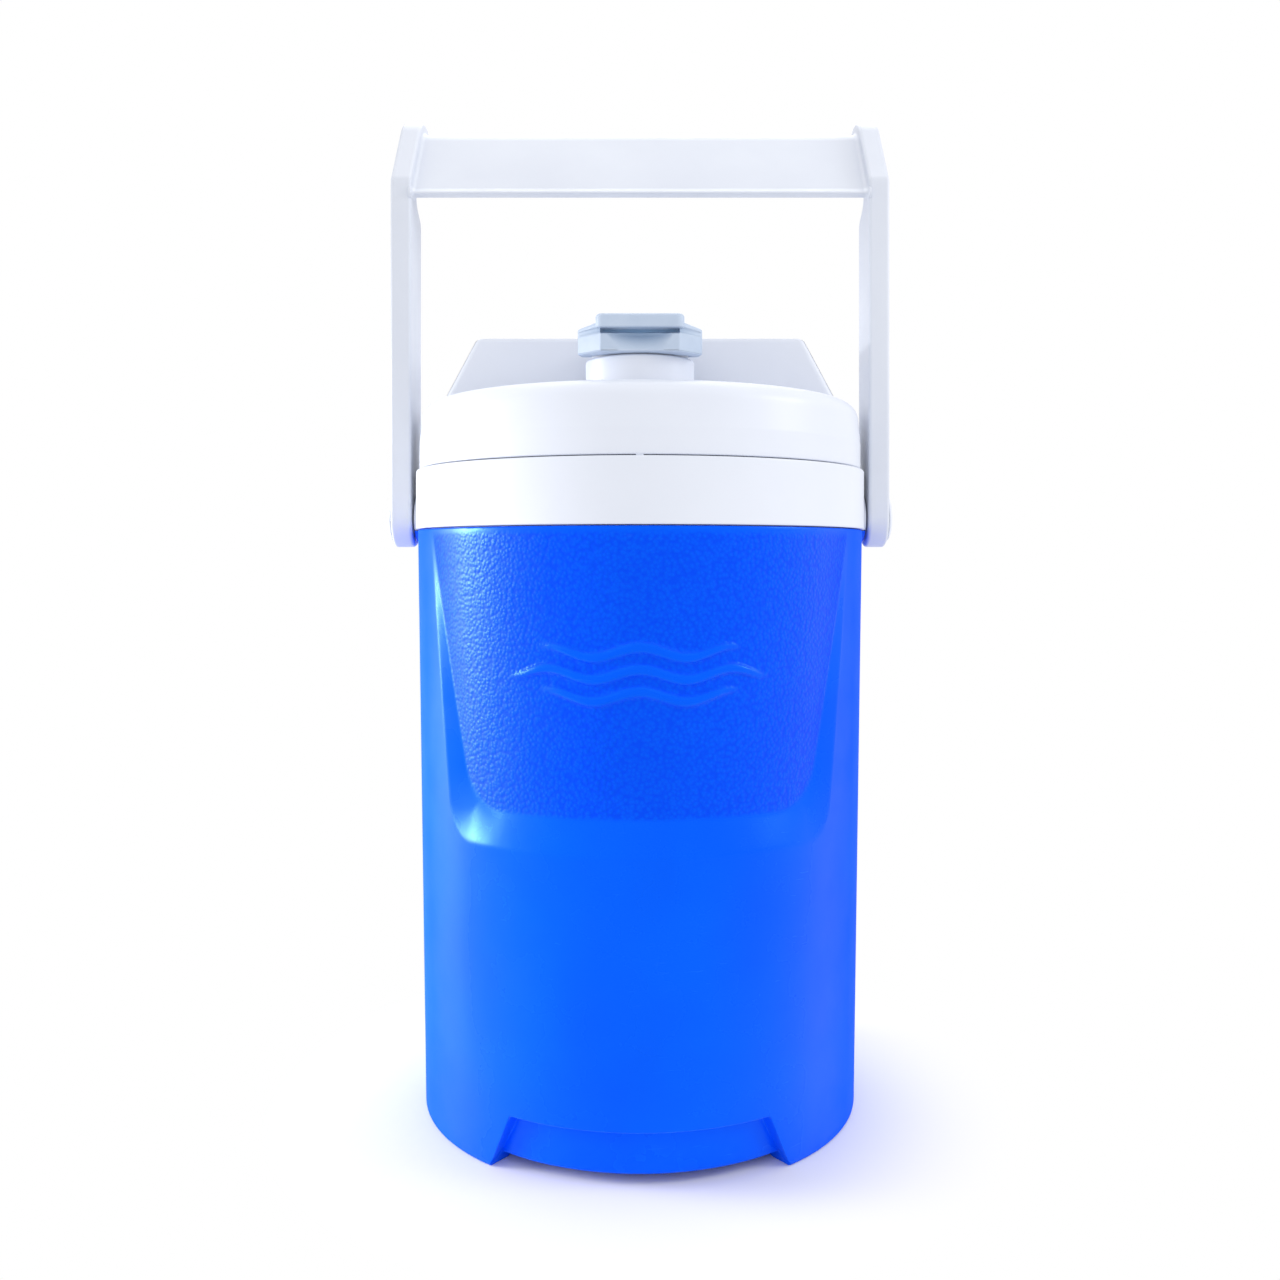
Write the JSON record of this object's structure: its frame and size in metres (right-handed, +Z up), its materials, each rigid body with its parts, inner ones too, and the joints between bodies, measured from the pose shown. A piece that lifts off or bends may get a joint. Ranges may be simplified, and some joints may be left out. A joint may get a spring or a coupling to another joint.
{
  "type": "insulated water jug",
  "caption": "Insulated drum-shaped water jug with a screw-on lid, a flip-cap drinking spout and a swinging bail handle with fence hooks.",
  "frame": {"origin": "centre of the circle that the jug's feet stand on", "axes": "+Z up along the jug's axis, -Y towards the spout and the front panel, X along the handle's pivots"},
  "size_m": [0.1706, 0.1512, 0.336],
  "materials": {
    "body_blue": "satin",
    "white_plastic": "satin",
    "liner_white": "satin",
    "cap_grey_blue": "satin",
    "foam": "matte",
    "seal_rubber": "matte",
    "pin_steel": "satin"
  },
  "bodies": {
    "jug_body": {"outer_shell": "body_blue", "insulation_foam": "foam", "inner_liner": "liner_white", "collar_ring": "white_plastic", "foam_port_plug": "body_blue", "pivot_pin_left": "white_plastic", "pivot_pin_right": "white_plastic"},
    "handle": {"bail_handle": "white_plastic"},
    "lid_lift": {"lid_gasket": "seal_rubber"},
    "lid": {"lid_shell": "white_plastic", "lid_inner_plate": "liner_white", "lid_foam": "foam", "spout_channel_gasket": "seal_rubber", "cap_hinge_pin": "pin_steel"},
    "cap": {"spout_cap": "cap_grey_blue", "spout_cap_seal": "seal_rubber"}
  },
  "joints": [
    {"name": "bail_swing", "type": "hinge", "parent": "jug_body", "child": "handle", "pos_m": [0, 0, 0.1944], "axis": [1, 0, 0], "range_deg": [-128, 128]},
    {"name": "lid_rise", "type": "slide", "parent": "jug_body", "child": "lid_lift", "axis": [0, 0, 1], "range_m": [0, 0.012]},
    {"name": "lid_turn", "type": "hinge", "parent": "lid_lift", "child": "lid", "pos_m": [0, 0, 0.22], "axis": [0, 0, 1], "range_deg": [0, 540]},
    {"name": "cap_flip", "type": "hinge", "parent": "lid", "child": "cap", "pos_m": [0, -0.011, 0.2495], "axis": [-1, 0, 0], "range_deg": [0, 120]}
  ],
  "couplings": [
    {"joint": "lid_rise", "follows": "lid_turn", "m_per_rad": 0.001273}
  ]
}
